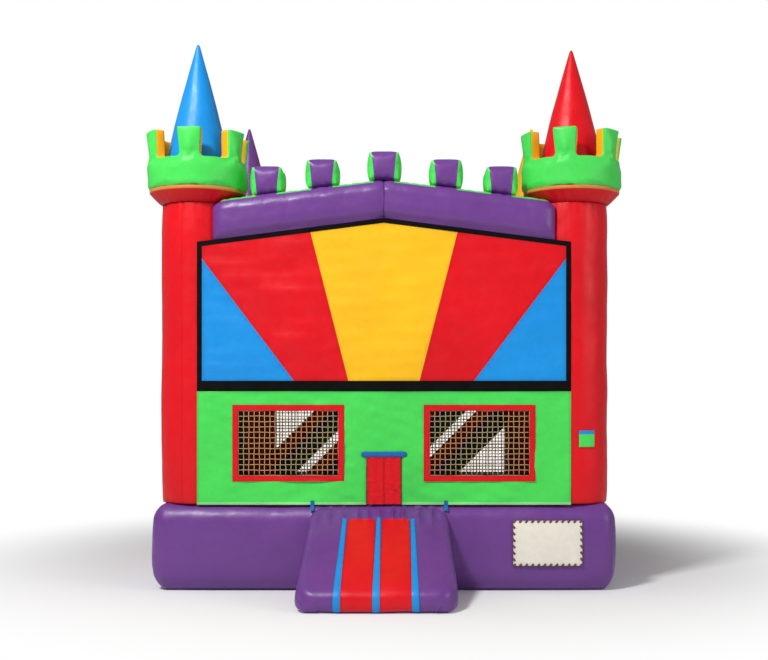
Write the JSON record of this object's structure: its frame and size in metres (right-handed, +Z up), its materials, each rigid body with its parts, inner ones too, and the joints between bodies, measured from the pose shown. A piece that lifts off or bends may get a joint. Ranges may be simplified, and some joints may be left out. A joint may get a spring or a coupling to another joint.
{
  "type": "inflatable bounce house",
  "caption": "Inflatable castle bounce house: corner turrets with cones, a gabled front with a sunburst panel, net windows, a curtained doorway and an entry ramp.",
  "frame": {"origin": "middle of the base's footprint, on the ground under it", "axes": "+Z up, -Y out of the doorway and down the ramp, +X to the right of someone facing the door"},
  "size_m": [4.096, 5.494, 4.67],
  "materials": {
    "vinyl_purple": "satin PVC-coated fabric",
    "vinyl_red": "satin PVC-coated fabric",
    "vinyl_green": "satin PVC-coated fabric",
    "vinyl_yellow": "satin PVC-coated fabric",
    "vinyl_blue": "satin PVC-coated fabric",
    "net": "knotted nylon net",
    "hook_and_loop": "matt hook-and-loop tape",
    "webbing": "woven webbing",
    "patch_cloth": "blank coated cloth",
    "ring_steel": "zinc-plated steel"
  },
  "bodies": {
    "structure": {"anchor_tabs": "webbing", "arch_merlon_centre": "vinyl_purple", "arch_merlon_inner_left": "vinyl_purple", "arch_merlon_inner_right": "vinyl_purple", "arch_merlon_outer_left": "vinyl_purple", "arch_merlon_outer_right": "vinyl_purple", "base_tube_front": "vinyl_purple", "base_tube_left": "vinyl_purple", "base_tube_rear": "vinyl_purple", "base_tube_right": "vinyl_purple", "bounce_floor": "vinyl_blue", "care_patch": "patch_cloth", "column_front_left": "vinyl_red", "column_front_right": "vinyl_red", "column_rear_left": "vinyl_red", "column_rear_right": "vinyl_red", "cone_front_left": "vinyl_blue", "cone_front_right": "vinyl_red", "cone_rear_left": "vinyl_purple", "cone_rear_right": "vinyl_yellow", "crown_front_left": "vinyl_green", "crown_front_right": "vinyl_green", "crown_rear_left": "vinyl_green", "crown_rear_right": "vinyl_green", "door_header": "vinyl_blue", "floor_baffles": "vinyl_blue", "front_arch_left": "vinyl_purple", "front_arch_right": "vinyl_purple", "front_wall": "vinyl_green", "inlet_sleeve": "vinyl_purple", "net_left": "net", "net_rear": "net", "net_right": "net", "panel_border": "hook_and_loop", "ramp": "vinyl_purple", "ramp_lanes": "vinyl_red", "ramp_rails": "vinyl_blue", "ramp_ties": "webbing", "ray_blue_left": "vinyl_blue", "ray_blue_right": "vinyl_blue", "ray_red_left": "vinyl_red", "ray_red_right": "vinyl_red", "ray_yellow_centre": "vinyl_yellow", "rear_bands": "vinyl_red", "roof_cover": "vinyl_yellow", "sleeve_strap": "webbing", "top_beam_left": "vinyl_purple", "top_beam_rear": "vinyl_purple", "top_beam_right": "vinyl_purple", "turret_collars": "vinyl_red", "window_frame_left": "vinyl_red", "window_frame_right": "vinyl_red", "window_net_left": "net", "window_net_right": "net"},
    "left_door_flap": {"door_flap_left": "vinyl_red"},
    "right_door_flap": {"door_flap_right": "vinyl_red"},
    "front_left_anchor_ring": {"anchor_ring_front_left": "ring_steel"},
    "front_right_anchor_ring": {"anchor_ring_front_right": "ring_steel"},
    "rear_left_anchor_ring": {"anchor_ring_rear_left": "ring_steel"},
    "rear_right_anchor_ring": {"anchor_ring_rear_right": "ring_steel"}
  },
  "joints": [
    {"name": "left_door_flap_hinge", "type": "hinge", "parent": "structure", "child": "left_door_flap", "pos_m": [-0.068, -1.932, 1.1207], "axis": [1, 0, 0], "range_deg": [-80, 80]},
    {"name": "right_door_flap_hinge", "type": "hinge", "parent": "structure", "child": "right_door_flap", "pos_m": [0.068, -1.932, 1.1207], "axis": [1, 0, 0], "range_deg": [-80, 80]},
    {"name": "front_left_anchor_ring_hinge", "type": "hinge", "parent": "structure", "child": "front_left_anchor_ring", "pos_m": [-1.9883, -1.5, 0.175], "axis": [0, 1, 0], "range_deg": [0, 170]},
    {"name": "front_right_anchor_ring_hinge", "type": "hinge", "parent": "structure", "child": "front_right_anchor_ring", "pos_m": [1.9883, -1.5, 0.175], "axis": [0, -1, 0], "range_deg": [0, 170]},
    {"name": "rear_left_anchor_ring_hinge", "type": "hinge", "parent": "structure", "child": "rear_left_anchor_ring", "pos_m": [-1.9883, 1.5, 0.175], "axis": [0, 1, 0], "range_deg": [0, 170]},
    {"name": "rear_right_anchor_ring_hinge", "type": "hinge", "parent": "structure", "child": "rear_right_anchor_ring", "pos_m": [1.9883, 1.5, 0.175], "axis": [0, -1, 0], "range_deg": [0, 170]}
  ]
}
